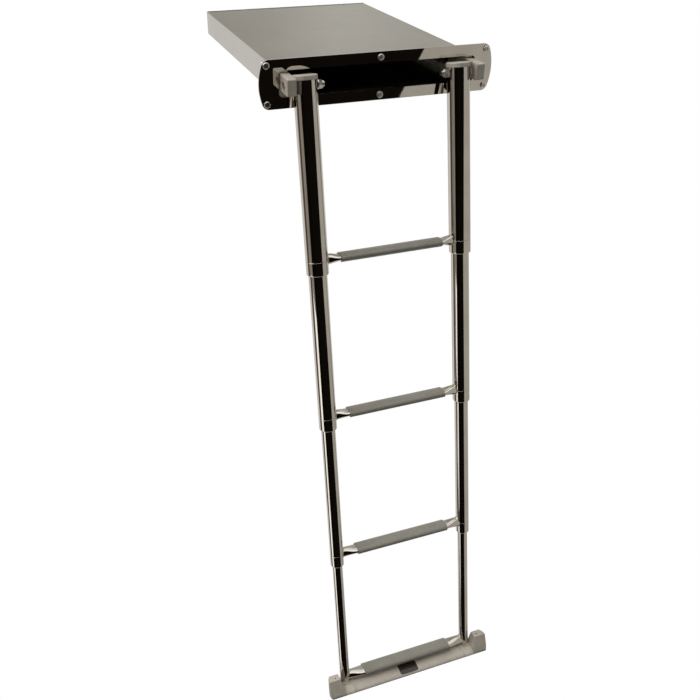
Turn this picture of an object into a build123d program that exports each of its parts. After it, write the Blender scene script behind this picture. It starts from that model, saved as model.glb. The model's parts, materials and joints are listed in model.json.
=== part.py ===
from build123d import *
import os
from math import sin, cos, tan, radians

os.makedirs("parts", exist_ok=True)

# Telescoping boarding ladder that folds level and stows in a flat steel box.
# X runs across the ladder, Y into the boat (along the box), Z up.
# The origin is the centre of the flange's back face, the face that seats on the hull.

# ---------------------------------------------------------------- ladder rails
rail_spacing = 265.0  # between the axes of the two rails
tube_radius = (19.05, 15.9, 12.7, 9.525)  # outside radius of the four stages
tube_wall = 1.5
pitch = 288.0  # step to step, extended
grip_len = 41.0  # how far a stage still sits in the one above it
tilt = 10.9  # lean of the hanging ladder from plumb, foot outward, in degrees
run_clear = 0.08  # radial clearance of a tube in a collar and of a glide in a tube
seat_gap = 0.2  # left between stop faces that meet at full extension

# ------------------------------------------------------- collars and glides
collar_len = 24.0
collar_bevel = 2.4
collar_lip = 0.5  # chamfer that draws the seam between tube and collar
spigot_len = 6.0  # part of a collar inside its own tube
glide_len = 10.3

# --------------------------------------------------------- steps and treads
step_end_r = 9.0  # round end of the step bar, welded to the rails
step_oval_w = 24.6  # the middle pressed to an oval, front to back
step_oval_t = 11.4
tread_inset = 20.45  # from the widest rails' inner sides to the plastic cover's ends
tread_w = 30.0  # the cover's oval, front to back
tread_t = 16.0
tread_slot = 14.0  # open strip under the cover
tread_lip_r = 0.7
skin_clear = 0.2  # between cover and bar
stow_gap = 1.0  # between a step and the collar above it when closed up

# ------------------------------------------------------------- tube end caps
cap_over = 1.55  # the disc stands out this much over the tube
cap_disc_t = 7.6
cap_edge_r = 2.2
cap_rise = 16.0  # cap's top above the hinge axis, along the rail
cap_flat_gap = 1.5  # the disc's two flats stay this far inside the box
plug_end = 11.0  # plug's lower end below the hinge axis
plug_gap = 1.0  # between plug and the stage stowed under it

# ------------------------------------------------------------- hinge fittings
rest_gap = 0.25  # between the hanging rails and the flange's lower lip
bolt_r = 4.0
bolt_head_r = 6.5
bolt_head_t = 3.8
bolt_hex = 5.0
hole_clear = 0.2
nut_af = 13.0
nut_t = 6.0
nut_collar_t = 2.2
bolt_tail = 2.2
washer_r = 8.0
washer_t = 1.6
spacer_t = 1.8

# ------------------------------------------------------------------- sliders
slider_gap = 1.95  # between rail and slider
slider_w = 14.8
slider_front = 39.0  # ahead of the flange's face
slider_back = 60.0  # behind the flange's back
slider_low = 10.5  # below the hinge axis
slider_high = 16.5  # above the hinge axis
slider_edge = 1.6
slider_nose = 3.0
rib_start = 16.0  # the raised rear rib, from the flange's back
recess_room = 1.5  # round the bolt's head in its pocket
recess_depth = 6.0

# ----------------------------------------------------------------------- box
side_clear = 1.9  # slider to box side
head_clear = 1.95  # rail to box lid when stowed
sheet = 1.0
bend_r = 2.0
box_reserve = 114.0  # behind the stowed ladder
back_t = 1.2
back_lip = 0.8
strip_w = 16.0
strip_start = 4.0
strip_clear = 0.2
strip_reserve = 12.0  # from the strip's end to the back plate
rivet_at = (198.0, 373.0)
rivet_r = 2.0
rivet_head_r = 4.0
rivet_head_t = 1.8
rivet_grip = 5.0
stop_start = 3.0
stop_len = 10.0

# -------------------------------------------------------------------- flange
flange_t = 2.5
flange_strip = 18.0  # above and below the mouth
flange_end = 32.3  # from the mouth's end to the flange's tip, on the centre line
flange_bulge = 8.5  # how far the curved ends stand out
flange_corner_r = 12.0
mouth_corner_r = 7.0
flange_edge = 0.6
screw_inset_x = 12.5  # screw from the flange's tip
screw_inset_z = 9.0  # screw from the flange's long edge
screw_r = 3.0
screw_hole_clear = 0.3
screw_head_r = 5.5
screw_head_t = 3.0
screw_head_round = 2.2
screw_cross_l = 5.4
screw_cross_w = 1.1
screw_cross_d = 1.3
stud_len = 22.0  # screw behind the flange
screw_shoulder = 0.15  # the shank is this much thicker where it passes the flange

# ------------------------------------------------------------------- end bar
bar_gap = 0.8  # between the last step's round end and the bar
bar_fall = 6.2  # how much its top slopes down to the front
bar_under = 4.2  # from the front of the slope to the underside
bar_depth = 31.0  # front to back
bar_end = 39.5  # from the rail's axis to the bar's end
bar_rear_cut = 9.0  # the ends draw in this much at the rear corners
bar_fore_cut = 2.5  # and this much at the front ones
bar_corner_r = 4.0
ear_rise = 13.0  # the ears' tops above the last step's centre
ear_top_in = 16.0  # from the rail's axis to the ear's inner side, at its top
ear_low_in = 8.5  # and at the bar
ear_top_from = 4.0
ear_top_to = 20.0
ear_hole_r = 1.6
ear_hole_depth = 12.0
ear_hole_in = 23.8  # from the rail's axis
ear_hole_y = 13.0
boss_wall = 3.4
socket_floor = 5.0
bar_rib_in = 12.5  # from the rail's axis towards the middle
bar_rib_w = 2.4
bar_rib_h = 1.4
bar_rib_from = 5.0

# ------------------------------------------------------------ derived places
half_span = rail_spacing / 2
lean = radians(tilt)
down = Vector(0, -sin(lean), -cos(lean))  # along the rails, towards the foot
out = Vector(0, -cos(lean), sin(lean))  # square to the rails, away from the boat
box_in_z = tube_radius[0] + head_clear
hinge_y = -flange_t - rest_gap + box_in_z * tan(lean) - tube_radius[0] / cos(lean)
hinge = Vector(0, hinge_y, 0)
bore_radius = [r - tube_wall for r in tube_radius]
cap_disc_r = tube_radius[0] + cap_over
recess_r = bolt_head_r + recess_room
tread_half = half_span - tube_radius[0] - tread_inset

stow_spacing = collar_len + step_end_r + stow_gap
stage_above = pitch + grip_len - collar_len  # stage's length above its own step
first_step = stage_above + plug_end + plug_gap - stow_spacing
step_at = [first_step + n * pitch for n in range(4)]
cap_top = -cap_rise
tube_top = [cap_top + cap_disc_t] + [h - stage_above for h in step_at[1:]]
stowed_len = first_step + 3 * stow_spacing - ear_rise + cap_rise

slider_in = half_span + tube_radius[0] + slider_gap
slider_out = slider_in + slider_w
box_in_x = slider_out + side_clear
box_out_x = box_in_x + sheet
box_out_z = box_in_z + sheet
box_len = stowed_len + box_reserve
flange_half_x = box_in_x + flange_end
flange_half_z = box_in_z + flange_strip
screw_x = flange_half_x - screw_inset_x
screw_z = flange_half_z - screw_inset_z
strip_top = -slider_low - strip_clear
strip_x = slider_in + (box_in_x - slider_in) / 2
bar_at = step_at[3] + step_end_r + bar_gap
bar_base = bar_at + bar_fall + bar_under
bar_half = half_span + bar_end
ear_inner_top = half_span + ear_top_in
ear_inner_low = half_span + ear_low_in
ear_hole_x = half_span + ear_hole_in
bar_rib_x = half_span - bar_rib_in


def across(h):
    """Plane square to the rails at h below the hinge: x across, y outward."""
    return Plane(origin=hinge + down * h, x_dir=(1, 0, 0), z_dir=down)


def endwise(x, h):
    """Plane square to X at height h on the ladder: x outward, y down the rails."""
    return Plane(origin=hinge + down * h + Vector(x, 0, 0), x_dir=out, z_dir=(1, 0, 0))


def on_hinge(side, x):
    """Plane square to the hinge axis, facing outward on the given side."""
    return Plane(origin=(side * x, hinge_y, 0), x_dir=(0, 1, 0), z_dir=(side, 0, 0))


def finish(piece, label):
    piece.part.label = label
    export_step(piece.part, f"parts/{label}.step")


SIDES = ((-1, "left"), (1, "right"))

# ================================================================ box and flange
with BuildPart() as box_tray:
    with BuildSketch(Plane.XZ) as tray_section:
        with Locations((0, (box_in_z - box_out_z) / 2)):
            Rectangle(2 * box_out_x, box_in_z + box_out_z)
        fillet(tray_section.vertices().group_by(Axis.Y)[0], bend_r)
        with Locations((0, sheet / 2)):
            Rectangle(2 * box_in_x, 2 * box_in_z + sheet, mode=Mode.SUBTRACT)
    extrude(amount=-box_len)
    with BuildSketch(Plane.XY.offset(-box_out_z)) as floor_holes:
        with Locations(*[(s * strip_x, y) for s, _ in SIDES for y in rivet_at]):
            Circle(rivet_r)
    extrude(amount=sheet, mode=Mode.SUBTRACT)
finish(box_tray, "box_tray")

with BuildPart() as box_lid:
    with BuildSketch(Plane.XZ) as lid_section:
        with Locations((0, box_in_z + sheet / 2)):
            Rectangle(2 * box_out_x, sheet)
        fillet(lid_section.vertices().group_by(Axis.Y)[-1], sheet * 0.7)
    extrude(amount=-box_len)
finish(box_lid, "box_lid")

with BuildPart() as box_back:
    with BuildSketch(Plane.XZ.offset(-box_len)) as back_outline:
        with Locations((0, back_lip / 2)):
            RectangleRounded(2 * box_out_x, 2 * box_out_z + back_lip, bend_r)
    extrude(amount=-back_t)
finish(box_back, "box_back")

screw_spots = [(sx * screw_x, sz * screw_z) for sx in (-1, 0, 1) for sz in (-1, 1)]

with BuildPart() as mounting_flange:
    with BuildSketch(Plane.XZ) as flange_outline:
        with BuildLine():
            straight = flange_half_x - flange_bulge
            Line((-straight, flange_half_z), (straight, flange_half_z))
            ThreePointArc((straight, flange_half_z), (flange_half_x, 0), (straight, -flange_half_z))
            Line((straight, -flange_half_z), (-straight, -flange_half_z))
            ThreePointArc((-straight, -flange_half_z), (-flange_half_x, 0), (-straight, flange_half_z))
        make_face()
        fillet(flange_outline.vertices(), flange_corner_r)
        RectangleRounded(2 * box_in_x, 2 * box_in_z, mouth_corner_r, mode=Mode.SUBTRACT)
        with Locations(*screw_spots):
            Circle(screw_r + screw_hole_clear, mode=Mode.SUBTRACT)
    extrude(amount=flange_t)
    front = mounting_flange.faces().sort_by(Axis.Y)[0]
    fillet(front.outer_wire().edges(), flange_edge)
finish(mounting_flange, "mounting_flange")

with BuildPart() as flange_screws:
    with BuildSketch(Plane.XZ.offset(flange_t)) as heads:
        with Locations(*screw_spots):
            Circle(screw_head_r)
    extrude(amount=screw_head_t)
    fillet(flange_screws.edges().group_by(Axis.Y)[0], screw_head_round)
    with BuildSketch(Plane.XZ.offset(flange_t + screw_head_t)) as crosses:
        with Locations(*screw_spots):
            Rectangle(screw_cross_l, screw_cross_w)
            Rectangle(screw_cross_w, screw_cross_l)
    extrude(amount=-screw_cross_d, mode=Mode.SUBTRACT)
    with BuildSketch(Plane.XZ.offset(flange_t)) as shoulders:
        with Locations(*screw_spots):
            Circle(screw_r + screw_shoulder)
    extrude(amount=-flange_t)
    with BuildSketch(Plane.XZ) as shanks:
        with Locations(*screw_spots):
            Circle(screw_r)
    extrude(amount=-stud_len)
    chamfer(flange_screws.edges().group_by(Axis.Y)[-1], 0.6)
finish(flange_screws, "flange_screws")

# ============================================================ guides inside the box
for side, name in SIDES:
    with BuildPart() as guide_strip:
        strip_h = strip_top + box_in_z
        strip_len = box_len - strip_start - strip_reserve
        with BuildSketch(Plane.XY.offset(-box_in_z)) as strip_plan:
            with Locations((side * strip_x, strip_start + strip_len / 2)):
                RectangleRounded(strip_w, strip_len, 3)
        extrude(amount=strip_h)
        with BuildSketch(Plane.XY.offset(-box_in_z)) as strip_holes:
            with Locations(*[(side * strip_x, y) for y in rivet_at]):
                Circle(rivet_r)
        extrude(amount=rivet_grip, mode=Mode.SUBTRACT)
    finish(guide_strip, f"guide_strip_{name}")

with BuildPart() as strip_rivets:
    rivet_spots = [(s * strip_x, y) for s, _ in SIDES for y in rivet_at]
    with BuildSketch(Plane.XY.offset(-box_out_z - rivet_head_t)) as rivet_heads:
        with Locations(*rivet_spots):
            Circle(rivet_head_r)
    extrude(amount=rivet_head_t)
    fillet(strip_rivets.edges().group_by(Axis.Z)[0], rivet_head_t * 0.6)
    with BuildSketch(Plane.XY.offset(-box_out_z)) as rivet_shanks:
        with Locations(*rivet_spots):
            Circle(rivet_r)
    extrude(amount=sheet + rivet_grip)
finish(strip_rivets, "strip_rivets")

with BuildPart() as slider_stops:
    stop_low = slider_high + 0.5
    with BuildSketch(Plane.XY.offset(stop_low)) as stop_plan:
        with Locations(*[(s * (slider_in + slider_w / 2), stop_start + stop_len / 2) for s, _ in SIDES]):
            Rectangle(slider_w - 2, stop_len)
    extrude(amount=box_in_z - stop_low)
finish(slider_stops, "slider_stops")

for side, name in SIDES:
    with BuildPart() as slider:
        near = slider_in if side > 0 else -slider_out
        with BuildSketch(Plane.YZ.offset(near)) as slider_side:
            nose = -flange_t - slider_front
            rib_top = box_in_z - 0.6
            with BuildLine():
                Polyline(
                    (nose, -slider_low), (slider_back, -slider_low), (slider_back, rib_top),
                    (rib_start, rib_top), (rib_start, slider_high), (nose, slider_high), close=True,
                )
            make_face()
            fillet(slider_side.vertices().group_by(Axis.X)[0], slider_nose)
        extrude(amount=slider_w)
        with BuildSketch(on_hinge(side, slider_out)) as head_pocket:
            Circle(recess_r)
        extrude(amount=-recess_depth, mode=Mode.SUBTRACT)
        outer = slider.faces().filter_by(Axis.X).sort_by(Axis.X)[-1 if side > 0 else 0]
        fillet(outer.outer_wire().edges(), slider_edge)
        chamfer(outer.inner_wires().edges(), 0.6)
        with BuildSketch(on_hinge(side, slider_out)) as pin_bore:
            Circle(bolt_r + run_clear)
        extrude(amount=-slider_w, mode=Mode.SUBTRACT)
    finish(slider, f"slider_{name}")

# ================================================================== hinge fittings
with BuildPart() as hinge_bolts:
    head_seat = slider_out - recess_depth + seat_gap
    nut_face = half_span - tube_radius[0] - washer_t
    tail = nut_face - nut_t - nut_collar_t - bolt_tail
    for side, _ in SIDES:
        with BuildSketch(on_hinge(side, head_seat)) as bolt_heads:
            Circle(bolt_head_r)
        extrude(amount=bolt_head_t)
    rims = [e for e in hinge_bolts.edges().filter_by(GeomType.CIRCLE)
            if abs(abs(e.center().X) - head_seat - bolt_head_t) < 0.01]
    fillet(rims, bolt_head_t * 0.5)
    for side, _ in SIDES:
        with BuildSketch(on_hinge(side, head_seat + bolt_head_t)) as sockets:
            RegularPolygon(bolt_hex / 2, 6, major_radius=False)
        extrude(amount=-bolt_head_t * 0.6, mode=Mode.SUBTRACT)
        with BuildSketch(on_hinge(side, tail)) as bolt_shanks:
            Circle(bolt_r)
        extrude(amount=head_seat - tail)
finish(hinge_bolts, "hinge_bolts")

with BuildPart() as hinge_nuts:
    for side, _ in SIDES:
        with BuildSketch(on_hinge(side, nut_face)) as nut_hex:
            RegularPolygon(nut_af / 2, 6, major_radius=False)
        extrude(amount=-nut_t)
        with BuildSketch(on_hinge(side, nut_face - nut_t)) as nut_collar:
            Circle(nut_af / 2 - 0.6)
        extrude(amount=-nut_collar_t)
        with BuildSketch(on_hinge(side, nut_face)) as nut_bore:
            Circle(bolt_r)
        extrude(amount=-(nut_t + nut_collar_t), mode=Mode.SUBTRACT)
finish(hinge_nuts, "hinge_nuts")

with BuildPart() as nut_washers:
    for side, _ in SIDES:
        with BuildSketch(on_hinge(side, nut_face)) as washer_ring:
            Circle(washer_r)
            Circle(bolt_r + hole_clear, mode=Mode.SUBTRACT)
        extrude(amount=washer_t)
finish(nut_washers, "nut_washers")

with BuildPart() as hinge_spacers:
    for side, _ in SIDES:
        with BuildSketch(on_hinge(side, half_span + tube_radius[0])) as spacer_ring:
            Circle(washer_r)
            Circle(bolt_r + hole_clear, mode=Mode.SUBTRACT)
        extrude(amount=spacer_t)
finish(hinge_spacers, "hinge_spacers")

for side, name in SIDES:
    with BuildPart() as tube_cap:
        with BuildSketch(across(cap_top)) as disc_plan:
            with Locations((side * half_span, 0)):
                Circle(cap_disc_r)
                flat = box_in_z - cap_flat_gap
                Rectangle(3 * cap_disc_r, 2 * flat, mode=Mode.INTERSECT)
        extrude(amount=cap_disc_t)
        top = tube_cap.faces().sort_by(Axis.Z)[-1]
        fillet(top.edges(), cap_edge_r)
        with BuildSketch(across(tube_top[0])) as plug_plan:
            with Locations((side * half_span, 0)):
                Circle(bore_radius[0])
        extrude(amount=plug_end - tube_top[0])
        with BuildSketch(on_hinge(side, half_span - tube_radius[0])) as plug_bore:
            Circle(bolt_r + hole_clear)
        extrude(amount=2 * tube_radius[0], mode=Mode.SUBTRACT)
    finish(tube_cap, f"tube_cap_{name}")

# ============================================================== the four stages
for stage in range(4):
    last = stage == 3
    low_end = bar_base - socket_floor if last else step_at[stage]
    for side, name in SIDES:
        with BuildPart() as tube:
            with BuildSketch(across(tube_top[stage])) as tube_ring:
                with Locations((side * half_span, 0)):
                    Circle(tube_radius[stage])
                    Circle(bore_radius[stage], mode=Mode.SUBTRACT)
            extrude(amount=low_end - tube_top[stage])
            if not last:
                rim = tube.faces().sort_by(Axis.Z)[0].outer_wire().edges()
                chamfer(rim, collar_lip)
            if stage == 0:
                with BuildSketch(on_hinge(side, half_span - tube_radius[0])) as tube_bore:
                    Circle(bolt_r + hole_clear)
                extrude(amount=2 * tube_radius[0], mode=Mode.SUBTRACT)
        finish(tube, f"tube_{stage + 1}_{name}")

        if not last:
            with BuildPart() as collar:
                passage = tube_radius[stage + 1] + run_clear
                with BuildSketch(across(step_at[stage])) as collar_ring:
                    with Locations((side * half_span, 0)):
                        Circle(tube_radius[stage])
                        Circle(passage, mode=Mode.SUBTRACT)
                extrude(amount=collar_len)
                foot = collar.faces().sort_by(Axis.Z)[0].outer_wire().edges()
                head = collar.faces().sort_by(Axis.Z)[-1].outer_wire().edges()
                land = tube_radius[stage] - passage
                chamfer(foot, min(collar_bevel, land - 0.4))
                chamfer(head, collar_lip)
                with BuildSketch(across(step_at[stage] - spigot_len)) as spigot_ring:
                    with Locations((side * half_span, 0)):
                        Circle(bore_radius[stage])
                        Circle(passage, mode=Mode.SUBTRACT)
                extrude(amount=spigot_len + collar_lip)
            finish(collar, f"collar_{stage + 1}_{name}")

        if stage > 0:
            with BuildPart() as glide:
                glide_low = step_at[stage - 1] - spigot_len - seat_gap
                with BuildSketch(across(glide_low - glide_len)) as glide_ring:
                    with Locations((side * half_span, 0)):
                        Circle(bore_radius[stage - 1] - run_clear)
                        Circle(tube_radius[stage], mode=Mode.SUBTRACT)
                extrude(amount=glide_len)
            finish(glide, f"glide_{stage + 1}_{name}")

    # step bar: a tube pressed oval in the middle, its round ends coped to the rails
    with BuildPart() as step:
        h = step_at[stage]
        neck = tread_half + 1.0
        weld = half_span - tube_radius[stage]
        with BuildSketch(endwise(-neck, h)) as oval_section:
            Ellipse(step_oval_w / 2, step_oval_t / 2)
        extrude(amount=2 * neck)
        for side, _ in SIDES:
            with BuildSketch(endwise(side * neck, h)) as flare_start:
                Ellipse(step_oval_w / 2, step_oval_t / 2)
            with BuildSketch(endwise(side * weld, h)) as flare_end:
                Circle(step_end_r)
            loft()
            with BuildSketch(endwise(side * weld, h)) as weld_end:
                Circle(step_end_r)
            extrude(amount=side * tube_radius[stage])
        with BuildSketch(across(h - 2 * step_end_r)) as cope:
            with Locations((-half_span, 0), (half_span, 0)):
                Circle(tube_radius[stage])
        extrude(amount=4 * step_end_r, mode=Mode.SUBTRACT)
    finish(step, f"step_{stage + 1}")

    with BuildPart() as tread:
        with BuildSketch(endwise(-tread_half, step_at[stage])) as cover:
            Ellipse(tread_w / 2, tread_t / 2)
            Ellipse(step_oval_w / 2 + skin_clear, step_oval_t / 2 + skin_clear, mode=Mode.SUBTRACT)
            with Locations((0, tread_t / 2)):
                Rectangle(tread_slot, tread_t, mode=Mode.SUBTRACT)
            lips = cover.vertices().filter_by(lambda vertex: abs(abs(vertex.X) - tread_slot / 2) < 0.01)
            fillet(lips, tread_lip_r)
        extrude(amount=2 * tread_half)
    finish(tread, f"tread_{stage + 1}")

# ==================================================================== end bar
with BuildPart() as end_bar:
    ear_at = step_at[3] - ear_rise
    with BuildSketch(endwise(-ear_inner_top, 0)) as beam_section:
        with BuildLine():
            Polyline(
                (0, bar_base), (0, bar_at + 2), (3, bar_at), (bar_depth - 2, bar_at + bar_fall),
                (bar_depth, bar_at + bar_fall + 2), (bar_depth, bar_base), close=True,
            )
        make_face()
    extrude(amount=2 * ear_inner_top)
    for side, _ in SIDES:
        with BuildSketch(endwise(side * ear_inner_low, 0)) as ear_section:
            with BuildLine():
                Polyline(
                    (0, bar_base), (0, bar_at), (ear_top_from, ear_at), (ear_top_to, ear_at),
                    (bar_depth, bar_at + bar_fall), (bar_depth, bar_base), close=True,
                )
            make_face()
        extrude(amount=side * (bar_half - ear_inner_low))
    # the ears' inner sides lean in towards the rails
    with BuildSketch(Plane(origin=hinge - out * 20, x_dir=(1, 0, 0), z_dir=out)) as between_ears:
        with BuildLine():
            Polyline(
                (-ear_inner_top, -ear_at + 1), (-ear_inner_low, -bar_at - 1), (ear_inner_low, -bar_at - 1),
                (ear_inner_top, -ear_at + 1), close=True,
            )
        make_face()
    extrude(amount=bar_depth + 40, mode=Mode.SUBTRACT)
    # plan outline with bowed ends
    with BuildSketch(across(ear_at - 1)) as plan:
        with BuildLine():
            rear = bar_half - bar_rear_cut
            fore = bar_half - bar_fore_cut
            bow = (bar_half, bar_depth * 0.6)
            Line((-rear, 0), (rear, 0))
            ThreePointArc((rear, 0), bow, (fore, bar_depth))
            Line((fore, bar_depth), (-fore, bar_depth))
            ThreePointArc((-fore, bar_depth), (-bow[0], bow[1]), (-rear, 0))
        make_face()
        fillet(plan.vertices().group_by(Axis.Y)[-1], bar_corner_r)
    extrude(amount=bar_base - ear_at + 2, mode=Mode.INTERSECT)
    # bosses that hold the last tubes, and the two ribs beside them
    with BuildSketch(across(bar_at)) as bosses:
        with Locations((-half_span, 0), (half_span, 0)):
            Circle(tube_radius[3] + boss_wall)
    extrude(amount=bar_base - bar_at)
    for side, _ in SIDES:
        with BuildSketch(endwise(side * bar_rib_x - bar_rib_w / 2, 0)) as rib_section:
            with BuildLine():
                Polyline(
                    (bar_rib_from, bar_at + 3), (bar_rib_from, bar_at - bar_rib_h),
                    (bar_depth - 2, bar_at + bar_fall - bar_rib_h),
                    (bar_depth - 0.5, bar_at + bar_fall + 3), close=True,
                )
            make_face()
        extrude(amount=bar_rib_w)
    with BuildSketch(across(ear_at)) as sockets:
        with Locations((-half_span, 0), (half_span, 0)):
            Circle(tube_radius[3])
    extrude(amount=bar_base - socket_floor - ear_at, mode=Mode.SUBTRACT)
    with BuildSketch(across(ear_at)) as ear_holes:
        with Locations((-ear_hole_x, ear_hole_y), (ear_hole_x, ear_hole_y)):
            Circle(ear_hole_r)
    extrude(amount=ear_hole_depth, mode=Mode.SUBTRACT)
finish(end_bar, "end_bar")

print("hinge axis y", round(hinge_y, 4), "z 0")
print("stage travel", round(pitch - stow_spacing, 3), "fold to level", 90 - tilt)
print("stowed length", round(stowed_len, 2), "box length", round(box_len, 2))
print("screw spacing", 2 * screw_x, 2 * screw_z, "steps at", [round(h, 2) for h in step_at])
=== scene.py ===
"""Telescoping boarding ladder on its stowage box: finishes, fine detail and studio."""

import json
import math

import bmesh
import bpy
import numpy as np
from mathutils import Matrix, Vector


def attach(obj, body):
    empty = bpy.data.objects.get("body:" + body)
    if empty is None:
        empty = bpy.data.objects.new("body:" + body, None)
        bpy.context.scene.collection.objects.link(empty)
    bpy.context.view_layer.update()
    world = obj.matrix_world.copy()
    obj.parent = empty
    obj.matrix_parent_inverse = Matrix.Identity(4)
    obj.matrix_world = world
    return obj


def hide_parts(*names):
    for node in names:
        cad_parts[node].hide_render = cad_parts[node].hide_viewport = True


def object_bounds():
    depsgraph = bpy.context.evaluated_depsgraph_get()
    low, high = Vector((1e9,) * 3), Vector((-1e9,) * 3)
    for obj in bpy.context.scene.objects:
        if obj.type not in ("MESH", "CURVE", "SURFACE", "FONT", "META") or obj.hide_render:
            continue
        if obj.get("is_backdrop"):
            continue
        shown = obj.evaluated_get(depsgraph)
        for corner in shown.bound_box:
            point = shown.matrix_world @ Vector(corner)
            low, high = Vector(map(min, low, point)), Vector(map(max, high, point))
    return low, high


bl_info = {
    "name": "Boarding ladder",
    "version": (1, 0, 0),
    "blender": (4, 5, 0),
    "location": "3D View > Sidebar > Ladder",
    "description": "Finishes and details a telescoping boarding ladder",
    "category": "Object",
}

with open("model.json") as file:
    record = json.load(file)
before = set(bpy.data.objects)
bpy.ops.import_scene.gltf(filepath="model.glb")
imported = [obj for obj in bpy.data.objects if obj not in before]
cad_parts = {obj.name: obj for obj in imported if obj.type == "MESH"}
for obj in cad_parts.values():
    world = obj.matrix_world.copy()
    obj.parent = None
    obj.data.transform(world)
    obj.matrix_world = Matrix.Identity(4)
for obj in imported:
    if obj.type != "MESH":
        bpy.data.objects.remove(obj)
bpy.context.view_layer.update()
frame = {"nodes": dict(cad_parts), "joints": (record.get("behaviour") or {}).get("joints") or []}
NODES = frame["nodes"]

# The ladder's own axes: X across, DOWN along the rails, OUT square to them.
FOLD = next(j for j in frame["joints"] if j["name"] == "fold")
SLIDE = next(j for j in frame["joints"] if j["name"] == "telescope_2")
HINGE = np.array(FOLD["pos_m"], float)
DOWN = np.array(SLIDE["axis"], float) / np.linalg.norm(SLIDE["axis"])
OUT = np.cross(DOWN, [1.0, 0.0, 0.0])
OUT = OUT if OUT[1] < 0 else -OUT
MM = 0.001
STAGES = (1, 2, 3, 4)
SIDES = {"left": -1, "right": 1}


def place(x, out, down):
    """Row-frame points from ladder coordinates: hinge + x across + out outward + down along the rails."""
    x, out, down = np.broadcast_arrays(x, out, down)
    flat = HINGE + np.stack([x, np.zeros_like(x), np.zeros_like(x)], -1)
    return flat + out[..., None] * OUT + down[..., None] * DOWN


def node_span(name):
    """Lowest and highest of a node's corners in ladder coordinates (across, out, down)."""
    mesh = NODES[name].data
    co = np.zeros(len(mesh.vertices) * 3)
    mesh.vertices.foreach_get("co", co)
    rel = co.reshape(-1, 3) - HINGE
    local = np.stack([rel[:, 0], rel @ OUT, rel @ DOWN], -1)
    return local.min(0), local.max(0)


# ------------------------------------------------------------------ small tools
def linear(code):
    """An sRGB hex colour as linear RGBA."""
    s = np.array([int(code[i : i + 2], 16) / 255 for i in (0, 2, 4)])
    rgb = np.where(s <= 0.04045, s / 12.92, ((s + 0.055) / 1.055) ** 2.4)
    return (*[float(c) for c in rgb], 1.0)


def feed(tree, node, **links):
    """Links a node's inputs, named with _ for a space or as _0 by number, to the sockets given."""
    for key, source in links.items():
        key = int(key[1:]) if key[0] == "_" else key.replace("_", " ")
        tree.links.new(source, node.inputs[key])


def add(tree, kind, settings=None, **links):
    """Adds a node; settings go to its properties or sockets, and links name what feeds each input."""
    node = tree.nodes.new(kind)
    for key, value in (settings or {}).items():
        if isinstance(key, str) and hasattr(node, key) and key not in node.inputs:
            setattr(node, key, value)
        else:
            node.inputs[key].default_value = value
    feed(tree, node, **links)
    return node


def ramp(tree, factor, stops):
    """A colour ramp with the given (position, colour) stops, fed by factor."""
    node = add(tree, "ShaderNodeValToRGB", None, Fac=factor)
    marks = node.color_ramp.elements
    for n, (at, colour) in enumerate(stops):
        mark = marks[n] if n < 2 else marks.new(at)
        mark.position = at
        mark.color = colour
    return node.outputs["Color"]


def empty_material(name):
    """A node material with nothing in its tree."""
    made = bpy.data.materials.new(name)
    made.use_nodes = True
    made.node_tree.nodes.clear()
    return made, made.node_tree


def material(name):
    """A node material with a Principled shader joined to its output."""
    made, tree = empty_material(name)
    shader = add(tree, "ShaderNodeBsdfPrincipled")
    add(tree, "ShaderNodeOutputMaterial", None, Surface=shader.outputs["BSDF"])
    return made, tree, shader


def object_coords(tree, scale=(1.0, 1.0, 1.0), turn=(0.0, 0.0, 0.0)):
    """Object coordinates through a Mapping node, in metres times scale."""
    coords = add(tree, "ShaderNodeTexCoord").outputs["Object"]
    mapped = add(tree, "ShaderNodeMapping", {"Scale": scale, "Rotation": turn}, Vector=coords)
    return mapped.outputs["Vector"]


def noise(tree, vector, per_metre, detail=3.0, rough=0.5):
    """A noise value with that many features per metre."""
    settings = {"Scale": per_metre, "Detail": detail, "Roughness": rough}
    return add(tree, "ShaderNodeTexNoise", settings, Vector=vector).outputs["Fac"]


def mapped_to(tree, value, low, high, from_low=0.3, from_high=0.7):
    """value stretched from its usual range to low..high."""
    settings = {1: from_low, 2: from_high, 3: low, 4: high}
    return add(tree, "ShaderNodeMapRange", settings, Value=value).outputs["Result"]


def bumped(tree, height, depth, edge=0.0):
    """A normal for a height pattern depth metres deep, over corners shaded round with radius edge."""
    bump = add(tree, "ShaderNodeBump", {"Strength": 1.0, "Distance": depth}, Height=height)
    if edge:
        bevel = add(tree, "ShaderNodeBevel", {"samples": 6, "Radius": edge})
        feed(tree, bump, Normal=bevel.outputs[0])
    return bump.outputs["Normal"]


def mix(tree, factor, first, second):
    """Two colours mixed by factor; each is a socket or a linear RGBA."""
    node = add(tree, "ShaderNodeMix", {"data_type": "RGBA"})
    for socket, value in ((0, factor), (6, first), (7, second)):
        if hasattr(value, "node"):
            tree.links.new(value, node.inputs[socket])
        else:
            node.inputs[socket].default_value = value
    return node.outputs[2]


# ------------------------------------------------------------------- materials
UPRIGHT = (1.0, 1.0, 0.05)  # draws a pattern out twentyfold along the rails
SIDEWAYS = (0.05, 1.0, 1.0)  # or across the ladder
RAIL_LEAN = math.radians(-10.9)  # lays the buffing lines along the leaning rails


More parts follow.
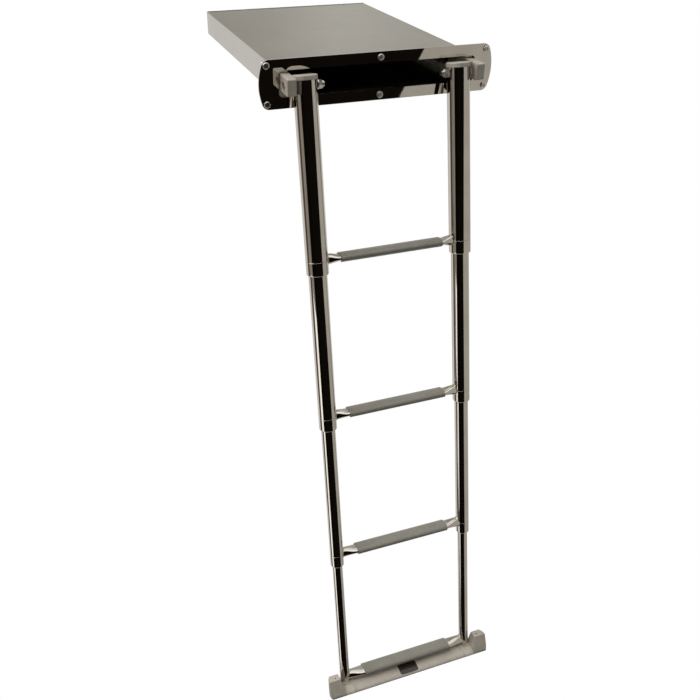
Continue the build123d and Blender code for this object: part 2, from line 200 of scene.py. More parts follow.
def mirror_stainless(colours, name, stretch=UPRIGHT, haze=(0.02, 0.06)):
    """Buffed 316 tube and plate: a near mirror whose buffing lines only soften the highlights."""
    made, tree, shader = material(name)
    along = object_coords(tree, stretch, (RAIL_LEAN, 0, 0))
    buffing = noise(tree, along, 900.0, 4.0)  # about 1 mm streaks
    smears = noise(tree, object_coords(tree), 22.0, 5.0, 0.62)  # 45 mm handling smears
    tint = mix(tree, mapped_to(tree, smears, 0.0, 1.0),
               linear(colours.stainless), linear(colours.stainless_shade))
    rough = add(tree, "ShaderNodeMath", {"operation": "ADD"},
                _0=mapped_to(tree, smears, *haze), _1=mapped_to(tree, buffing, 0.0, 0.02))
    feed(tree, shader, Base_Color=tint, Roughness=rough.outputs[0],
         Normal=bumped(tree, buffing, 0.002 * MM))
    shader.inputs["Metallic"].default_value = 1.0
    return made


def sheet_stainless(colours):
    """Cold-rolled 2B sheet, folded and spot welded: a soft grey mirror with faint lines front to back."""
    made, tree, shader = material("Cold-rolled 2B stainless sheet")
    rolled = noise(tree, object_coords(tree, (1.0, 0.02, 1.0)), 420.0, 5.0, 0.6)  # 2.4 mm rolling lines
    cloud = noise(tree, object_coords(tree), 9.0, 4.0, 0.6)  # 110 mm clouds left by the pickling bath
    shade = mix(tree, mapped_to(tree, cloud, 0.0, 1.0),
                linear(colours.sheet), linear(colours.sheet_shade))
    lines = mix(tree, mapped_to(tree, rolled, 0.0, 0.35), shade, linear(colours.sheet_line))
    feed(tree, shader, Base_Color=lines, Roughness=mapped_to(tree, rolled, 0.14, 0.26),
         Normal=bumped(tree, rolled, 0.006 * MM, edge=1.2 * MM))
    shader.inputs["Metallic"].default_value = 1.0
    return made


def moulded_plastic(name, base, shade, rough=(0.38, 0.55), grain=0.03 * MM, marks=0.35, front_shade=None):
    """Injection-moulded nylon or polypropylene: even colour, spark-eroded grain and a few dull rubs.

    The last argument, if given, is (colour, from, to): painted shade that darkens the surface in specks
    between those distances outward from the rails' plane, in metres.
    """
    made, tree, shader = material(name)
    coords = object_coords(tree)
    blotch = noise(tree, coords, 28.0, 4.0, 0.6)  # 35 mm uneven ageing
    rubs = noise(tree, object_coords(tree, (0.25, 1.0, 1.0)), 260.0, 6.0, 0.7)  # 4 mm scuffs across
    pits = noise(tree, coords, 1250.0, 2.0)  # 0.8 mm tool grain
    dull = mix(tree, mapped_to(tree, blotch, 0.0, 1.0), linear(base), linear(shade))
    wear_and_shade = mix(tree, mapped_to(tree, rubs, 0.0, marks, 0.56, 0.74), dull, linear(shade))
    # Painted shade: the colour darkens in specks on faces farther out from the rails' plane, where the
    # front gets little light
    if front_shade:
        painted_shade, unshaded_to, full_from = front_shade
        start = float(HINGE @ OUT)
        outward = add(tree, "ShaderNodeVectorMath", {"operation": "DOT_PRODUCT", 1: tuple(OUT)}, _0=coords)
        near = mapped_to(tree, outward.outputs["Value"], 0.0, 0.5, start + unshaded_to, start + full_from)
        patches = noise(tree, coords, 160.0, 6.0, 0.7)  # 6 mm patches
        specks = mapped_to(tree, patches, 0.15, 1.0, 0.42, 0.62)
        amount = add(tree, "ShaderNodeMath", {"operation": "MULTIPLY"}, _0=near, _1=specks)
        wear_and_shade = mix(tree, amount.outputs[0], wear_and_shade, linear(painted_shade))
    feed(tree, shader, Base_Color=wear_and_shade, Roughness=mapped_to(tree, rubs, *rough),
         Normal=bumped(tree, pits, grain, edge=0.8 * MM))
    shader.inputs["IOR"].default_value = 1.49
    return made


def bright_fastener(colours):
    """A4 stainless screws and nuts: cold headed, tumbled bright, with a little grey in the hollows."""
    made, tree, shader = material("Tumbled A4 stainless fastener")
    grit = noise(tree, object_coords(tree), 1500.0, 3.0)  # 0.7 mm tumbling texture
    shade = mix(tree, mapped_to(tree, grit, 0.0, 1.0),
                linear(colours.fastener), linear(colours.fastener_shade))
    feed(tree, shader, Base_Color=shade, Roughness=mapped_to(tree, grit, 0.3, 0.44),
         Normal=bumped(tree, grit, 0.008 * MM))
    shader.inputs["Metallic"].default_value = 1.0
    return made


def weld_steel(colours):
    """TIG-welded stainless bead, polished over: bright with a straw heat tint beside it."""
    made, tree, shader = material("Polished TIG bead on stainless")
    heat = noise(tree, object_coords(tree), 240.0, 3.0)  # 4 mm patches of straw tint
    tint = mix(tree, mapped_to(tree, heat, 0.0, 0.8), linear(colours.stainless), linear(colours.heat_tint))
    feed(tree, shader, Base_Color=tint, Roughness=mapped_to(tree, heat, 0.12, 0.28))
    shader.inputs["Metallic"].default_value = 1.0
    return made


def label_film(colours):
    """Dark vinyl film, blank: glossy with a slightly mottled face and a clear coat."""
    made, tree, shader = material("Dark vinyl film")
    mottle = noise(tree, object_coords(tree), 420.0, 5.0, 0.65)  # 2.4 mm mottling of the worn face
    face = ramp(tree, mottle, [(0.36, linear(colours.film)), (0.66, linear(colours.film_worn))])
    feed(tree, shader, Base_Color=face, Roughness=mapped_to(tree, mottle, 0.25, 0.5))
    shader.inputs["Coat Weight"].default_value = 0.4
    return made


# ------------------------------------------------------------------ mesh pieces
SHARP_FROM = math.radians(38)  # edges that turn more than this stay crisp
AROUND = 96  # points round a turned collar or along a weld


def grid_faces(rows, cols, wrap_rows=False, wrap_cols=False):
    """Quads of a rows x cols grid of points, closed round either way if asked."""
    r = np.arange(rows if wrap_rows else rows - 1)
    c = np.arange(cols if wrap_cols else cols - 1)
    r, c = np.meshgrid(r, c, indexing="ij")
    r2, c2 = (r + 1) % rows, (c + 1) % cols
    return np.stack([r * cols + c, r * cols + c2, r2 * cols + c2, r2 * cols + c], -1).reshape(-1, 4)


def piece(name, points, faces, finish, stage, stands_for=()):
    """A mesh object at the world's origin that rides on a stage; its normals point outwards."""
    mesh = bpy.data.meshes.new(name)
    mesh.from_pydata(np.asarray(points, float).reshape(-1, 3), [], np.asarray(faces).tolist())
    work = bmesh.new()
    work.from_mesh(mesh)
    bmesh.ops.remove_doubles(work, verts=work.verts, dist=0.001 * MM)
    bmesh.ops.recalc_face_normals(work, faces=work.faces)
    work.to_mesh(mesh)
    work.free()
    mesh.polygons.foreach_set("use_smooth", [True] * len(mesh.polygons))
    mesh.materials.append(finish)
    made = bpy.data.objects.new(name, mesh)
    bpy.context.scene.collection.objects.link(made)
    mesh.set_sharp_from_angle(angle=SHARP_FROM)
    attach(made, f"stage_{stage}")
    if stands_for:
        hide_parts(*stands_for)
    return made


def rail_of(stage):
    """(rail's axis from the middle, rail's outside radius) of a stage, from its tubes."""
    low, high = node_span(f"tube_{stage}_right")
    return (low[0] + high[0]) / 2, (high[0] - low[0]) / 2


BORE_PLAY = 0.08 * MM  # a collar's bore round the tube that slides in it
TUBE_WALL = 1.5 * MM
SEAM_ROLL = 0.5 * MM  # small rolled edge where a collar meets its tube
EDGE_STEP = 1.5 * MM  # from a rolled edge to the next ring of points
LIP_WALL = 0.8 * MM  # steel left at the foot of a collar's bore
SHOULDER_POINTS, ROLL_POINTS = 9, 4  # along a collar's shoulder and its rolled edge


def collar_shell(stage, side, sizes, finish):
    """The steel collar at a rail's foot, turned: its outline is revolved about the rail.

    The outline runs up the bore, round the spigot, out to the rail's size with a quarter circle at the
    seam and down to a shoulder that is a quarter of an ellipse, which ends in a thin lip.
    """
    name = f"collar_{stage}_{side}"
    low, high = node_span(name)
    axis, radius = rail_of(stage)
    bore = rail_of(stage + 1)[1] + BORE_PLAY
    foot, top = high[2], low[2]
    seam = top + sizes.spigot
    drop, narrow = sizes.shoulder, min(sizes.shoulder, radius - bore - LIP_WALL)
    bend = np.linspace(0, np.pi / 2, SHOULDER_POINTS)
    roll = np.linspace(0, np.pi / 2, ROLL_POINTS)
    inner = radius - TUBE_WALL
    outline = np.concatenate([
        [(bore, foot), (bore, top), (inner, top), (inner, seam)],
        np.stack([radius - SEAM_ROLL * (1 - np.sin(roll)), seam + SEAM_ROLL * (1 - np.cos(roll))], -1),
        [(radius, seam + EDGE_STEP), (radius, foot - drop - EDGE_STEP)],
        np.stack([radius - narrow * (1 - np.cos(bend)), foot - drop + drop * np.sin(bend)], -1),
    ])
    turns = np.linspace(0, 2 * np.pi, AROUND, endpoint=False)[:, None]
    out = outline[:, 0] * np.sin(turns)
    points = place(SIDES[side] * axis + outline[:, 0] * np.cos(turns), out, outline[:, 1])
    faces = grid_faces(AROUND, len(outline), wrap_rows=True, wrap_cols=True)
    return piece(f"turned_{name}", points, faces, finish, stage, [name])


BAR_AROUND = 64  # points round a step bar
BAR_TAPER = 0.7  # share of a bar's half length past which its rings stand closer
PLAIN_ROWS, TAPER_ROWS = 4, 24  # rings up to there and from there on
BAR_ROUND = 1 * MM  # length beside the weld that stays round
BAR_COPE = 8  # power by which only the bar's very end follows the rail


def step_bar(stage, sizes, finish):
    """A round tube pressed to an oval in the middle and left round where it is coped onto the rails.

    Its section is an ellipse whose half width and half height go smoothly from the oval's to the round's
    with the distance from the middle, and its end points are pushed onto the rail's cylinder.
    """
    low, high = node_span(f"step_{stage}")
    axis, radius = rail_of(stage)
    middle, oval_wide, round_r = (low[2] + high[2]) / 2, (high[1] - low[1]) / 2, (high[2] - low[2]) / 2
    cover_end = node_span(f"tread_{stage}")[1][0]
    turns = np.linspace(0, 2 * np.pi, BAR_AROUND, endpoint=False)
    plain = np.linspace(0, BAR_TAPER, PLAIN_ROWS)[:-1]
    share = np.concatenate([plain, np.linspace(BAR_TAPER, 1.0, TAPER_ROWS)])
    span = np.concatenate([-share[::-1], share[1:]])
    weld = axis - radius
    blend = np.clip((np.abs(span) * weld - cover_end) / (weld - cover_end - BAR_ROUND), 0, 1)
    blend = (blend * blend * (3 - 2 * blend))[:, None]
    out = (oval_wide + (round_r - oval_wide) * blend) * np.cos(turns)
    drop = (sizes.oval / 2 + (round_r - sizes.oval / 2) * blend) * np.sin(turns)
    # where the bar meets the rail; the cap keeps the root real if the bar is as wide as the rail
    reach = axis - np.sqrt(radius**2 - np.minimum(out**2, radius**2 * 0.995))
    x = span[:, None] * (weld + (reach - weld) * np.abs(span[:, None]) ** BAR_COPE)
    points = place(x, out, middle + drop)
    faces = grid_faces(len(span), BAR_AROUND, wrap_cols=True)
    return piece(f"step_bar_{stage}", points, faces, finish, stage, [f"step_{stage}"])


BEAD_AROUND = 10  # points round a weld bead's own section
RIPPLES, RIPPLE = 26, 0.12  # how many ripples a bead has, and their share of its radius
BEAD_FULL, BEAD_SUNK = 0.7, 0.25  # section radius and depth into the rail, as shares of the bead's size


def weld_bead(stage, side, sizes, finish):
    """The bead round a step bar's end: a small rippled circle swept along the line where bar meets rail."""
    low, high = node_span(f"step_{stage}")
    axis, radius = rail_of(stage)
    middle, bar_r = (low[2] + high[2]) / 2, (high[2] - low[2]) / 2
    along = np.linspace(0, 2 * np.pi, AROUND, endpoint=False)[:, None]
    section = np.linspace(0, 2 * np.pi, BEAD_AROUND, endpoint=False)[None, :]
    bead = sizes.bead * (1 + RIPPLE * np.cos(RIPPLES * along))
    ring = bar_r + bead * np.cos(section) * BEAD_FULL
    out, drop = ring * np.cos(along), ring * np.sin(along)
    rail_face = axis - np.sqrt(np.maximum(radius**2 - out**2, 0))
    x = SIDES[side] * (rail_face + bead * (np.sin(section) * BEAD_FULL - BEAD_SUNK))
    faces = grid_faces(AROUND, BEAD_AROUND, wrap_rows=True, wrap_cols=True)
    return piece(f"weld_{stage}_{side}", place(x, out, middle + drop), faces, finish, stage)


WALL_POINTS = 61  # along the outside, and again the inside, of a cover's C section
LIP_POINTS = 6  # round each edge of the open strip
COVER_ROWS = 31  # rings along a cover between its rounded ends
END_ROOM = 6 * MM  # from a cover's end to the first of them
END_ROWS = 6  # rings over each rounded end
LIP_FULL = 0.8  # how far a lip stands out, as a share of a half circle


def open_oval(half_wide, half_tall, half_gap):
    """An ellipse from one side of a gap round to the other: x = a cos t, y = b sin t, t falling."""
    edge = math.acos(half_gap / half_wide)
    turn = np.linspace(edge, -np.pi - edge, WALL_POINTS)
    return np.stack([half_wide * np.cos(turn), half_tall * np.sin(turn)], -1)


def lip(start, end):
    """The points between start and end on the half oval that bulges to the right of the way there."""
    centre, arm = (start + end) / 2, (start - end) / 2
    bend = np.linspace(0, np.pi, LIP_POINTS + 2)[1:-1, None]
    return centre + arm * np.cos(bend) + np.array([arm[1], -arm[0]]) * np.sin(bend) * LIP_FULL


def tread_cover(stage, sizes, finish):
    """The clip-on step cover: an oval C section, open below, carried along the bar.

    Seen from the end, the outline is an ellipse outside and the bar's ellipse inside, both cut at the
    open strip's edges and joined there by half ovals; the outside shrinks by a quarter circle's depth
    at the two ends.
    """
    low, high = node_span(f"tread_{stage}")
    bar = node_span(f"step_{stage}")
    middle = (bar[0][2] + bar[1][2]) / 2
    half, reach, tall = (high[1] - low[1]) / 2, high[0], middle - low[2]
    outer = open_oval(half, tall, sizes.cover_lip)
    inner = open_oval((bar[1][1] - bar[0][1]) / 2 + sizes.cover_gap, sizes.oval / 2 + sizes.cover_gap,
                      sizes.cover_lip)[::-1]
    loop = np.concatenate([outer, lip(outer[-1], inner[0]), inner, lip(inner[-1], outer[0])])
    around = len(loop)
    outside = (np.arange(around) < WALL_POINTS) * 1.0
    bend = np.linspace(0, np.pi / 2, END_ROWS)
    ends = reach - sizes.cover_edge * (1 - np.cos(bend))
    draw = sizes.cover_edge * (1 - np.sin(bend))
    xs = np.concatenate([-ends, np.linspace(-reach + END_ROOM, reach - END_ROOM, COVER_ROWS), ends[::-1]])
    pull = np.concatenate([draw, np.zeros(COVER_ROWS), draw[::-1]])
    rows = loop * (1 - (outside * pull[:, None] / np.linalg.norm(loop, axis=1))[:, :, None])
    points = place(xs[:, None], rows[:, :, 0], middle + rows[:, :, 1])
    # flat ends: outer point k lies across the wall from inner point last - k
    last = 2 * WALL_POINTS + LIP_POINTS - 1
    k, i = np.arange(WALL_POINTS - 1), np.arange(LIP_POINTS // 2)
    cap = [np.stack([k, k + 1, last - 1 - k, last - k], -1)]
    for root in (WALL_POINTS - 1, last):
        far = root + LIP_POINTS + 1
        cap.append(np.stack([root + i, root + 1 + i, far - 1 - i, (far - i) % around], -1))
    cap = np.concatenate(cap)
    faces = np.concatenate([grid_faces(len(xs), around, wrap_cols=True), cap, cap + (len(xs) - 1) * around])
    return piece(f"tread_cover_{stage}", points, faces, finish, stage, [f"tread_{stage}"])


def superellipse(angle, half_wide, half_tall, power):
    """A rectangle with softly rounded corners: x = a sign(cos)|cos|^(2/n), y = b sign(sin)|sin|^(2/n)."""
    c, s = np.cos(angle), np.sin(angle)
    return (half_wide * np.sign(c) * np.abs(c) ** (2 / power),
            half_tall * np.sign(s) * np.abs(s) ** (2 / power))


# The end bar's front slope: its back edge outward from the rails' plane and below the step bar's
# middle, how far short of the bar's front it ends, and how far it falls.
SLOPE_OUT, SLOPE_BELOW, SLOPE_SHORT, SLOPE_FALL = 3 * MM, 9.8 * MM, 2 * MM, 6.2 * MM
LABEL_MARGIN = 0.4 * MM  # from the label to the slope's front edge
LABEL_POINTS = 72  # round its outline
LABEL_POWER = 8  # of the superellipse: the higher, the squarer the corners
# (share of the outline, height above the slope), from the stuck edge over the film's top to its middle
LABEL_RINGS = ((1.0, 0.02 * MM), (1.0, 0.14 * MM), (0.985, 0.18 * MM), (0.5, 0.18 * MM), (0.0, 0.18 * MM))


def blank_label(sizes, finish):
    """A thin film with rounded corners on the end bar's front slope: a superellipse on a tilted plane."""
    front = node_span("end_bar")[1][1]
    bar = node_span("step_4")
    slope_from = np.array([SLOPE_OUT, (bar[0][2] + bar[1][2]) / 2 + SLOPE_BELOW])
    slope_to = np.array([front - SLOPE_SHORT, slope_from[1] + SLOPE_FALL])
    run = slope_to - slope_from
    reach = np.linalg.norm(run)
    run = run / reach
    rise = np.array([run[1], -run[0]])
    turn = np.linspace(0, 2 * np.pi, LABEL_POINTS, endpoint=False)
    across, along = superellipse(turn, sizes.label_w / 2, sizes.label_h / 2, LABEL_POWER)
    centre = slope_from + run * (reach - sizes.label_h / 2 - LABEL_MARGIN)
    share, lift = np.array(LABEL_RINGS).T[:, :, None]
    spot = centre + (along * share)[..., None] * run + lift[..., None] * rise
    points = place(across * share + sizes.label_x, spot[..., 0], spot[..., 1])
    faces = grid_faces(len(LABEL_RINGS), LABEL_POINTS, wrap_cols=True)
    return piece("blank_label", points, faces, finish, STAGES[-1])


# -------------------------------------------------------------------- settings
def length(name, description, millimetres):
    """A length property in metres, whose default is given in millimetres."""
    return bpy.props.FloatProperty(
        name=name, description=description, default=millimetres * MM, unit="LENGTH")


def colour(name, description, code):
    """A text property that holds an sRGB hex colour."""
    return bpy.props.StringProperty(name=name, description=description, default=code)


class LadderSizes(bpy.types.PropertyGroup):
    """Sizes of the pieces that are made here rather than carried over"""

    spigot: length("Spigot", "Length of a collar that sits inside its own tube", 6.0)
    shoulder: length("Shoulder", "Radius of the rounded shoulder at a collar's foot", 2.4)
    oval: length("Oval height", "Height of the oval middle of a step bar", 11.4)
    bead: length("Weld bead", "Radius of the weld bead at each step bar's end", 1.3)
    cover_gap: length("Cover gap", "Clearance between step bar and cover", 0.2)
    cover_lip: length("Cover lip", "Half width of the open strip under a step cover", 7.2)
    cover_edge: length("Cover edge", "Radius round the step cover's two ends", 0.9)
    label_w: length("Label width", "Width of the blank label on the end bar", 39.0)
    label_h: length("Label height", "Height of the blank label on the end bar", 24.5)
    label_x: length("Label offset", "How far right of the middle the label sits", -2.5)


class LadderColours(bpy.types.PropertyGroup):
    """The finishes' colours, as sRGB hex"""

    stainless: colour("Stainless", "Mirror-polished stainless", "D2CEC8")
    stainless_shade: colour("Stainless shade", "Polished stainless where hands have dulled it", "C6C1B9")
    sheet: colour("Sheet", "Cold-rolled stainless sheet", "C9C5BF")
    sheet_shade: colour("Sheet shade", "Sheet in the duller clouds", "BDB9B2")
    sheet_line: colour("Sheet lines", "Sheet along its rolling lines", "DAD6D0")
    fastener: colour("Fastener", "Tumbled fastener steel", "EAE7E2")
    fastener_shade: colour("Fastener shade", "Fastener steel in its hollows", "C6C2BB")
    heat_tint: colour("Heat tint", "Straw tint beside a weld", "B7A37C")
    white_nylon: colour("White nylon", "Off-white moulded nylon", "C1BBB0")
    white_nylon_shade: colour("White nylon shade", "Off-white nylon where it has greyed", "ADA699")
    grey_cover: colour("Grey cover", "Grey moulded step cover", "8F8C82")
    grey_cover_shade: colour("Grey cover shade", "Step cover where it is rubbed", "827F76")
    # Painted shade: the dark colour laid in specks on the end bar's front edge
    painted_shade: colour("Shade_paint", "Grey-brown grime on the end bar's front edge", "5E564C")
    natural: colour("Natural nylon", "Natural nylon glides and guides", "DAD5C8")
    natural_shade: colour("Natural nylon shade", "Nylon where it has yellowed", "C7BFAB")
    film: colour("Label film", "Dark film of the blank label", "110C09")
    film_worn: colour("Worn film", "Label film where it is rubbed", "31271F")


class LadderLight(bpy.types.PropertyGroup):
    """How strongly the studio is lit"""

    key: bpy.props.FloatProperty(
        name="Key light", default=30.0, unit="POWER",
        description="Power of the large soft light over the ladder's left")
    front: bpy.props.FloatProperty(
        name="Front fill", default=11.0, unit="POWER",
        description="Power of the soft light from the front")
    white: bpy.props.FloatProperty(
        name="Surround", default=1.0, min=0.0, soft_max=2.0, subtype="FACTOR",
        description="Brightness of the pale surround that the camera sees")
    fill: bpy.props.FloatProperty(
        name="Fill", default=1.0, min=0.0, soft_max=2.0, subtype="FACTOR",
        description="Brightness of the room that lights and is mirrored in the ladder")


def settings(context):
    """The scene's sizes, colours and light."""
    scene = context.scene
    return scene.ladder_sizes, scene.ladder_colours, scene.ladder_light


# ------------------------------------------------------------------- operators
def repaint(names, finish):
    """Gives CAD nodes, named whole or by how they start, one finish."""
    for name, node in NODES.items():
        if name.startswith(tuple(names)):
            for slot in node.material_slots:
                slot.material = finish


class LADDER_OT_metal(bpy.types.Operator):
    """Polish the rails and flange, and finish the sheet box and the fasteners"""

    bl_idname = "ladder.metal"
    bl_label = "Metal finishes"

    def execute(self, context):
        colours = settings(context)[1]
        tube = mirror_stainless(colours, "Mirror-polished 316 stainless")
        plate = mirror_stainless(colours, "Mirror-polished 316 plate", SIDEWAYS, haze=(0.004, 0.02))
        repaint(["tube_1", "tube_2", "tube_3", "tube_4", "collar_", "step_"], tube)
        repaint(["mounting_flange"], plate)
        repaint(["box_"], sheet_stainless(colours))
        repaint(["flange_screws", "hinge_bolts", "hinge_nuts", "nut_washers", "strip_rivets"],
                bright_fastener(colours))
        return {"FINISHED"}


class LADDER_OT_plastic(bpy.types.Operator):
    """Give the caps, sliders, end bar, glides and guides their moulded plastics"""

    bl_idname = "ladder.plastic"
    bl_label = "Plastic finishes"

    def execute(self, context):
        colours = settings(context)[1]
        pale = colours.white_nylon, colours.white_nylon_shade
        # The end bar's front edge gets painted shade in specks
        painted_shade = colours.painted_shade, 22 * MM, 36 * MM
        natural = colours.natural, colours.natural_shade
        repaint(["tube_cap", "slider_left", "slider_right"],
                moulded_plastic("Off-white moulded nylon", *pale))
        repaint(["end_bar"], moulded_plastic("Off-white moulded nylon, shade_painted in front", *pale, front_shade=painted_shade))
        repaint(["glide_", "guide_strip", "hinge_spacers", "slider_stops"],
                moulded_plastic("Natural nylon", *natural, rough=(0.3, 0.42), grain=0.01 * MM, marks=0.15))
        return {"FINISHED"}


class LADDER_OT_collars(bpy.types.Operator):
    """Turn the collars that guide one stage's rails in the other"""

    bl_idname = "ladder.collars"
    bl_label = "Collars"

    def execute(self, context):
        sizes, colours = settings(context)[:2]
        steel = mirror_stainless(colours, "Mirror-polished turned collar")
        for stage in STAGES[:-1]:
            for side in SIDES:
                collar_shell(stage, side, sizes, steel)
        return {"FINISHED"}


class LADDER_OT_steps(bpy.types.Operator):
    """Build the pressed step bars, their weld beads and their clip-on covers"""

    bl_idname = "ladder.steps"
    bl_label = "Steps"

    def execute(self, context):
        sizes, colours = settings(context)[:2]
        bar = mirror_stainless(colours, "Mirror-polished pressed tube", SIDEWAYS)
        bead = weld_steel(colours)
        cover = moulded_plastic("Grey moulded polypropylene", colours.grey_cover, colours.grey_cover_shade,
                                rough=(0.26, 0.4), grain=0.02 * MM)
        for stage in STAGES:
            step_bar(stage, sizes, bar)
            tread_cover(stage, sizes, cover)
            for side in SIDES:
                weld_bead(stage, side, sizes, bead)
        return {"FINISHED"}


class LADDER_OT_label(bpy.types.Operator):
    """Stick the blank dark label on the end bar"""

    bl_idname = "ladder.label"
    bl_label = "Blank label"

    def execute(self, context):
        sizes, colours = settings(context)[:2]
        blank_label(sizes, label_film(colours))
        return {"FINISHED"}


# ---------------------------------------------------------------------- studio
def glow(name, rgb, one_sided=False):
    """A plain light-giving material for studio boards, which can be clear from behind."""
    made, tree = empty_material(name)
    light = add(tree, "ShaderNodeEmission", {"Color": (*rgb, 1.0)}).outputs[0]
    if one_sided:
        behind = add(tree, "ShaderNodeNewGeometry").outputs["Backfacing"]
        clear = add(tree, "ShaderNodeBsdfTransparent").outputs[0]
        light = add(tree, "ShaderNodeMixShader", None, _0=behind, _1=light, _2=clear).outputs[0]
    add(tree, "ShaderNodeOutputMaterial", None, Surface=light)
    return made


def board(name, corners, finish, mirrored_only=True):
    """A flat studio board; mirrored_only boards are seen in polished metal and nowhere else."""
    mesh = bpy.data.meshes.new(name)
    mesh.from_pydata(corners, [], [list(range(len(corners)))])
    mesh.materials.append(finish)
    made = bpy.data.objects.new(name, mesh)
    bpy.context.scene.collection.objects.link(made)
    if mirrored_only:
        made.visible_camera = made.visible_diffuse = made.visible_shadow = False
        made.visible_transmission = False
    made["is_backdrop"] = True
    return made


def lamp(name, power, size, at, towards):
    """A square soft light that faces a point."""
    data = bpy.data.lights.new(name, "AREA")
    data.size, data.energy = size, power
    made = bpy.data.objects.new(name, data)
    bpy.context.scene.collection.objects.link(made)
    made.location = at
    made.rotation_euler = (Vector(towards) - made.location).to_track_quat("-Z", "Y").to_euler()
    return made


def bearing(degrees):
    """Where a bearing, 0 straight into the boat and 90 to the right, falls on a 0..1 ramp."""
    return (degrees + 180.0) / 360.0


ROOM = [  # what stands round the ladder by bearing: dark studio in front, pale boards behind and beside
    (-180, (0.006, 0.0045, 0.0035)), (-150, (0.006, 0.0045, 0.0035)), (-128, (0.003, 0.003, 0.002)),
    (-114, (0.004, 0.003, 0.002)), (-109, (0.34, 0.29, 0.25)), (-86, (0.36, 0.31, 0.27)),
    (-78, (0.09, 0.07, 0.055)), (-62, (0.09, 0.07, 0.055)), (-50, (0.9, 0.88, 0.85)),
    (-18, (0.78, 0.77, 0.75)), (-8, (0.7, 0.69, 0.67)), (11, (0.36, 0.35, 0.32)),
    (16, (0.43, 0.42, 0.38)), (20, (0.55, 0.54, 0.5)), (23, (0.52, 0.51, 0.47)),
    (27, (0.44, 0.43, 0.39)), (46, (0.9, 0.88, 0.85)), (66, (0.75, 0.73, 0.7)),
    (78, (0.4, 0.39, 0.35)), (96, (0.42, 0.41, 0.37)), (102, (0.49, 0.47, 0.42)),
    (122, (0.49, 0.47, 0.42)), (126, (0.004, 0.004, 0.003)), (150, (0.006, 0.005, 0.004)),
    (180, (0.006, 0.0045, 0.0035)),
]
# The ceiling and the ground: their light, and the heights of sight between which each takes over.
OVERHEAD, OVERHEAD_FROM = (1.4, 1.38, 1.35), (0.76, 0.87)
BELOW, BELOW_FROM = (0.95, 0.94, 0.92), (-0.88, -0.95)


def room_light(light):
    """The world: plain and pale to the camera, and a soft room by bearing and height to everything else."""
    world = bpy.data.worlds.new("Studio room")
    bpy.context.scene.world = world
    world.use_nodes = True
    tree = world.node_tree
    tree.nodes.clear()
    direction = add(tree, "ShaderNodeTexCoord").outputs["Generated"]
    split = add(tree, "ShaderNodeSeparateXYZ", None, Vector=direction)
    angle = add(tree, "ShaderNodeMath", {"operation": "ARCTAN2"},
                _0=split.outputs["X"], _1=split.outputs["Y"])
    turn = mapped_to(tree, angle.outputs[0], 0.0, 1.0, -math.pi, math.pi)
    room = ramp(tree, turn, [(bearing(at), (*rgb, 1.0)) for at, rgb in ROOM])
    for rgb, heights in ((OVERHEAD, OVERHEAD_FROM), (BELOW, BELOW_FROM)):
        room = mix(tree, mapped_to(tree, split.outputs["Z"], 0.0, 1.0, *heights), room, (*rgb, 1.0))
    seen = add(tree, "ShaderNodeLightPath").outputs["Is Camera Ray"]
    both = mix(tree, seen, room, (light.white, light.white, light.white, 1.0))
    back = add(tree, "ShaderNodeBackground", {"Strength": light.fill}, Color=both)
    add(tree, "ShaderNodeOutputWorld", None, Surface=back.outputs[0])


FLOOR_REACH, FLOOR_DROP = 40, 0.03  # half the floor's width, and the floor's depth under the ladder
# Pale board on the right: its near and far corners in plan, its top and foot, and its near edge as
# (height, shift towards the far corner). That edge's slant is mirrored in the flange and the rails.
SIDE_NEAR, SIDE_FAR, SIDE_TOP, SIDE_FOOT = (0.33, -0.52), (1.1, 0.0), 0.6, -2.2
SIDE_EDGE = ((SIDE_TOP, 0.324), (-0.085, 0.0), (-0.195, -0.0504), (-0.32, -0.096), (SIDE_FOOT, -0.144))
# Low pale board on the left, which puts a bright band down the rails below the top stage.
LOW_X, LOW_Y, LOW_Z = -2.3, (-0.96, -0.05), (-3.3, -1.05)


class LADDER_OT_studio(bpy.types.Operator):
    """Set the pale floor, soft lights, boards and the camera"""

    bl_idname = "ladder.studio"
    bl_label = "Studio"

    def execute(self, context):
        light = settings(context)[2]
        room_light(light)
        floor_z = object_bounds()[0][2] - FLOOR_DROP
        square = ((-1, -1), (1, -1), (1, 1), (-1, 1))
        corners = [(FLOOR_REACH * x, FLOOR_REACH * y, floor_z) for x, y in square]
        floor = board("floor", corners, glow("Pale floor", (light.white,) * 3, one_sided=True),
                      mirrored_only=False)
        floor.visible_diffuse = floor.visible_glossy = False
        near, far = np.array(SIDE_NEAR), np.array(SIDE_FAR)
        run = (far - near) / np.linalg.norm(far - near)
        side = [(*(near + run * shift), z) for z, shift in SIDE_EDGE]
        side += [(*SIDE_FAR, SIDE_FOOT), (*SIDE_FAR, SIDE_TOP)]
        board("side_board", side, glow("Pale side board", (0.49, 0.47, 0.42)))
        low = [(LOW_X, LOW_Y[i], LOW_Z[k]) for i, k in ((0, 0), (1, 0), (1, 1), (0, 1))]
        board("low_board", low, glow("Low pale board", (1.5, 1.47, 1.42)))
        lamp("key", light.key, 1.6, (-1.6, 0.5, 1.3), (0, 0, -0.6))
        front = lamp("front_fill", light.front, 1.2, (-0.9, -2.4, 0.5), (0, -0.1, -0.5))
        front.visible_glossy = False
        add_camera()
        context.scene.view_settings.view_transform = "Standard"
        return {"FINISHED"}


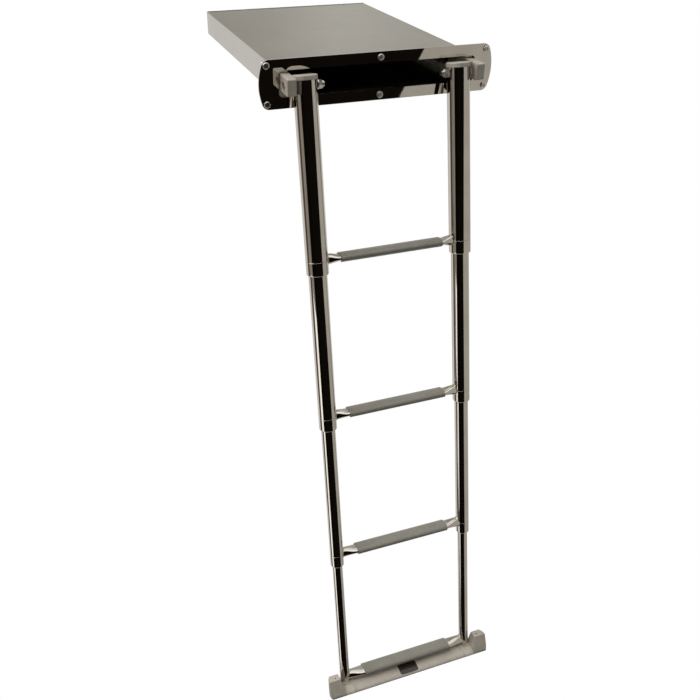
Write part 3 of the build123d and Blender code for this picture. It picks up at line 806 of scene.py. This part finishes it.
# The camera: its place, and its right, up and backward directions in the row frame.
CAMERA_AT = (-0.531099, -1.244970, 0.338886)
CAMERA_AXES = (
    (0.938867, -0.344165, 0.008900),
    (0.161838, 0.464007, 0.870923),
    (-0.303871, -0.816240, 0.491339),
)
SENSOR_MM, LENS_MM = 36.0, 42.8313
SHIFT = (0.0170714, -0.0659429)  # sideways and upward, in frame widths
FARTHEST = 200  # metres that the camera sees


def add_camera():
    """The scene's camera, from its place, directions, lens and shift."""
    data = bpy.data.cameras.new("camera")
    data.sensor_width = SENSOR_MM
    data.lens = LENS_MM
    data.shift_x, data.shift_y = SHIFT
    data.clip_end = FARTHEST
    camera = bpy.data.objects.new("camera", data)
    bpy.context.scene.collection.objects.link(camera)
    turn = Matrix(CAMERA_AXES).transposed()
    camera.matrix_world = Matrix.Translation(CAMERA_AT) @ turn.to_4x4()
    bpy.context.scene.camera = camera


class LADDER_PT_sidebar(bpy.types.Panel):
    """The ladder's sizes, colours and light, and a button for each operator"""

    bl_label = "Boarding ladder"
    bl_idname = "LADDER_PT_sidebar"
    bl_space_type = "VIEW_3D"
    bl_region_type = "UI"
    bl_category = "Ladder"

    def draw(self, context):
        for group in settings(context):
            box = self.layout.box()
            for key in group.bl_rna.properties.keys():
                if key not in {"rna_type", "name"}:
                    box.prop(group, key)
        for operator in OPERATORS:
            self.layout.operator(operator.bl_idname)


OPERATORS = (LADDER_OT_metal, LADDER_OT_plastic, LADDER_OT_collars, LADDER_OT_steps, LADDER_OT_label,
             LADDER_OT_studio)
CLASSES = (LadderSizes, LadderColours, LadderLight, *OPERATORS, LADDER_PT_sidebar)


def register():
    for cls in CLASSES:
        bpy.utils.register_class(cls)
    bpy.types.Scene.ladder_sizes = bpy.props.PointerProperty(type=LadderSizes)
    bpy.types.Scene.ladder_colours = bpy.props.PointerProperty(type=LadderColours)
    bpy.types.Scene.ladder_light = bpy.props.PointerProperty(type=LadderLight)


def unregister():
    del bpy.types.Scene.ladder_sizes, bpy.types.Scene.ladder_colours, bpy.types.Scene.ladder_light
    for cls in reversed(CLASSES):
        bpy.utils.unregister_class(cls)


def main():
    register()
    bpy.ops.ladder.metal()
    bpy.ops.ladder.plastic()
    bpy.ops.ladder.collars()
    bpy.ops.ladder.steps()
    bpy.ops.ladder.label()
    bpy.ops.ladder.studio()


if __name__ == "__main__":
    main()
